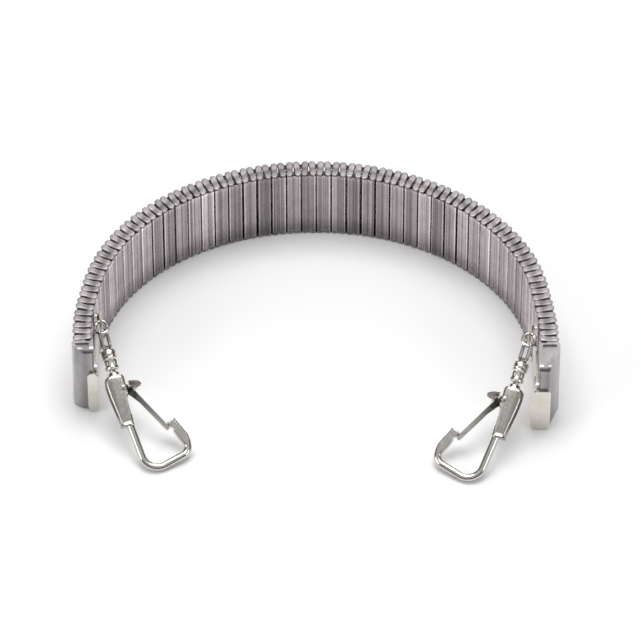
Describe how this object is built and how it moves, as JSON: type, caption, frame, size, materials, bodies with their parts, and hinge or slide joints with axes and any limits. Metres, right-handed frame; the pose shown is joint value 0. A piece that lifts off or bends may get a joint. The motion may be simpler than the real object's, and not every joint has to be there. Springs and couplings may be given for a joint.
{
  "type": "esd wrist strap",
  "caption": "Stretch metal wrist band of spring-held sleeves in an open arc, with a swivel lever hook hung from a ring at each end.",
  "frame": {"origin": "middle of the bounding box, at the height of the edge it stands on", "axes": "+Z across the width of the band, +X along the widest span of the arc, -Y out of the arc's open side, where the hooks lie"},
  "size_m": [0.1014, 0.0722, 0.019],
  "materials": {
    "sleeve_steel": "satin, brushed along each sleeve",
    "clip_steel": "satin",
    "spring_steel": "plain spring strip and wire",
    "end_plate_steel": "satin",
    "bright_plate": "bright nickel plating",
    "bright_nickel": "bright nickel plating",
    "satin_nickel": "worn nickel plating"
  },
  "bodies": {
    "link_group_1": {"outer_sleeves_1": "sleeve_steel", "inner_sleeves_1": "sleeve_steel", "side_clips_1": "clip_steel", "leaf_springs_1": "spring_steel", "right_end_plate": "end_plate_steel", "right_inner_plate": "bright_plate", "right_plate_rivets": "satin_nickel"},
    "link_group_2": {"outer_sleeves_2": "sleeve_steel", "inner_sleeves_2": "sleeve_steel", "side_clips_2": "clip_steel", "leaf_springs_2": "spring_steel"},
    "link_group_3": {"outer_sleeves_3": "sleeve_steel", "inner_sleeves_3": "sleeve_steel", "side_clips_3": "clip_steel", "leaf_springs_3": "spring_steel"},
    "link_group_4": {"outer_sleeves_4": "sleeve_steel", "inner_sleeves_4": "sleeve_steel", "side_clips_4": "clip_steel", "leaf_springs_4": "spring_steel"},
    "link_group_5": {"outer_sleeves_5": "sleeve_steel", "inner_sleeves_5": "sleeve_steel", "side_clips_5": "clip_steel", "leaf_springs_5": "spring_steel"},
    "link_group_6": {"outer_sleeves_6": "sleeve_steel", "inner_sleeves_6": "sleeve_steel", "side_clips_6": "clip_steel", "leaf_springs_6": "spring_steel"},
    "link_group_7": {"outer_sleeves_7": "sleeve_steel", "inner_sleeves_7": "sleeve_steel", "side_clips_7": "clip_steel", "leaf_springs_7": "spring_steel", "left_end_plate": "end_plate_steel", "left_inner_plate": "bright_plate", "left_plate_rivets": "satin_nickel"},
    "link_clip_pair_1": {"link_clips_1": "clip_steel"},
    "link_clip_pair_2": {"link_clips_2": "clip_steel"},
    "link_clip_pair_3": {"link_clips_3": "clip_steel"},
    "link_clip_pair_4": {"link_clips_4": "clip_steel"},
    "link_clip_pair_5": {"link_clips_5": "clip_steel"},
    "link_clip_pair_6": {"link_clips_6": "clip_steel"},
    "right_ring_body": {"right_ring": "bright_nickel"},
    "right_swivel": {"right_swivel_eye": "bright_nickel", "right_swivel_collar": "bright_plate"},
    "right_hook": {"right_hook_body": "satin_nickel", "right_hook_wire": "bright_nickel", "right_gate_pin": "satin_nickel", "right_gate_spring": "spring_steel"},
    "right_gate_lever": {"right_gate": "satin_nickel"},
    "left_ring_body": {"left_ring": "bright_nickel"},
    "left_swivel": {"left_swivel_eye": "bright_nickel", "left_swivel_collar": "bright_plate"},
    "left_hook": {"left_hook_body": "satin_nickel", "left_hook_wire": "bright_nickel", "left_gate_pin": "satin_nickel", "left_gate_spring": "spring_steel"},
    "left_gate_lever": {"left_gate": "satin_nickel"}
  },
  "joints": [
    {"name": "clip_3_on_outer_sleeve", "type": "hinge", "parent": "link_group_4", "child": "link_clip_pair_3", "pos_m": [0.01075, 0.03419, 0.0095], "axis": [0, 0, 1], "range_deg": [0, 25]},
    {"name": "clip_3_on_inner_sleeve", "type": "hinge", "parent": "link_clip_pair_3", "child": "link_group_3", "pos_m": [0.01039, 0.03228, 0.0095], "axis": [0, 0, -1], "range_deg": [0, 25]},
    {"name": "clip_2_on_outer_sleeve", "type": "hinge", "parent": "link_group_3", "child": "link_clip_pair_2", "pos_m": [0.03189, 0.02514, 0.0095], "axis": [0, 0, 1], "range_deg": [0, 25]},
    {"name": "clip_2_on_inner_sleeve", "type": "hinge", "parent": "link_clip_pair_2", "child": "link_group_2", "pos_m": [0.03074, 0.02358, 0.0095], "axis": [0, 0, -1], "range_deg": [0, 25]},
    {"name": "clip_1_on_outer_sleeve", "type": "hinge", "parent": "link_group_2", "child": "link_clip_pair_1", "pos_m": [0.04593, 0.00695, 0.0095], "axis": [0, 0, 1], "range_deg": [0, 25]},
    {"name": "clip_1_on_inner_sleeve", "type": "hinge", "parent": "link_clip_pair_1", "child": "link_group_1", "pos_m": [0.04411, 0.00628, 0.0095], "axis": [0, 0, -1], "range_deg": [0, 25]},
    {"name": "clip_4_on_inner_sleeve", "type": "hinge", "parent": "link_group_4", "child": "link_clip_pair_4", "pos_m": [-0.01183, 0.03208, 0.0095], "axis": [0, 0, 1], "range_deg": [0, 25]},
    {"name": "clip_4_on_outer_sleeve", "type": "hinge", "parent": "link_clip_pair_4", "child": "link_group_5", "pos_m": [-0.01223, 0.03397, 0.0095], "axis": [0, 0, -1], "range_deg": [0, 25]},
    {"name": "clip_5_on_inner_sleeve", "type": "hinge", "parent": "link_group_5", "child": "link_clip_pair_5", "pos_m": [-0.03199, 0.02295, 0.0095], "axis": [0, 0, 1], "range_deg": [0, 25]},
    {"name": "clip_5_on_outer_sleeve", "type": "hinge", "parent": "link_clip_pair_5", "child": "link_group_6", "pos_m": [-0.03318, 0.02449, 0.0095], "axis": [0, 0, -1], "range_deg": [0, 25]},
    {"name": "clip_6_on_inner_sleeve", "type": "hinge", "parent": "link_group_6", "child": "link_clip_pair_6", "pos_m": [-0.04487, 0.00531, 0.0095], "axis": [0, 0, 1], "range_deg": [0, 25]},
    {"name": "clip_6_on_outer_sleeve", "type": "hinge", "parent": "link_clip_pair_6", "child": "link_group_7", "pos_m": [-0.04671, 0.00591, 0.0095], "axis": [0, 0, -1], "range_deg": [0, 25]},
    {"name": "right_ring_swing", "type": "hinge", "parent": "link_group_1", "child": "right_ring_body", "pos_m": [0.04469, -0.00954, 0.01662], "axis": [-0.9426, 0.3338, 0], "range_deg": [-10, 85]},
    {"name": "right_eye_on_ring", "type": "hinge", "parent": "right_ring_body", "child": "right_swivel", "pos_m": [0.04431, -0.01062, 0.016], "axis": [0.1603, 0.4527, -0.8771], "range_deg": [-4, 35]},
    {"name": "right_swivel_spin", "type": "hinge", "parent": "right_swivel", "child": "right_hook", "pos_m": [0.04124, -0.0193, 0.01095], "axis": [-0.2928, -0.8268, -0.4802], "continuous": true},
    {"name": "right_gate_open", "type": "hinge", "parent": "right_hook", "child": "right_gate_lever", "pos_m": [0.03929, -0.02149, 0.00946], "axis": [-0.1603, -0.4527, 0.8771], "range_deg": [0, 25], "stiffness_Nm_per_rad": 0.004, "springref_deg": -28.65},
    {"name": "left_ring_swing", "type": "hinge", "parent": "link_group_7", "child": "left_ring_body", "pos_m": [-0.04496, -0.00612, 0.01662], "axis": [-0.958, -0.2866, 0], "range_deg": [-10, 85]},
    {"name": "left_eye_on_ring", "type": "hinge", "parent": "left_ring_body", "child": "left_swivel", "pos_m": [-0.04464, -0.00722, 0.016], "axis": [0.1377, -0.4601, 0.8771], "range_deg": [-2, 35]},
    {"name": "left_swivel_spin", "type": "hinge", "parent": "left_swivel", "child": "left_hook", "pos_m": [-0.042, -0.01604, 0.01095], "axis": [-0.2514, 0.8403, 0.4802], "continuous": true},
    {"name": "left_gate_open", "type": "hinge", "parent": "left_hook", "child": "left_gate_lever", "pos_m": [-0.04016, -0.01833, 0.00946], "axis": [-0.1377, 0.4601, -0.8771], "range_deg": [0, 25], "stiffness_Nm_per_rad": 0.004, "springref_deg": -28.65}
  ]
}
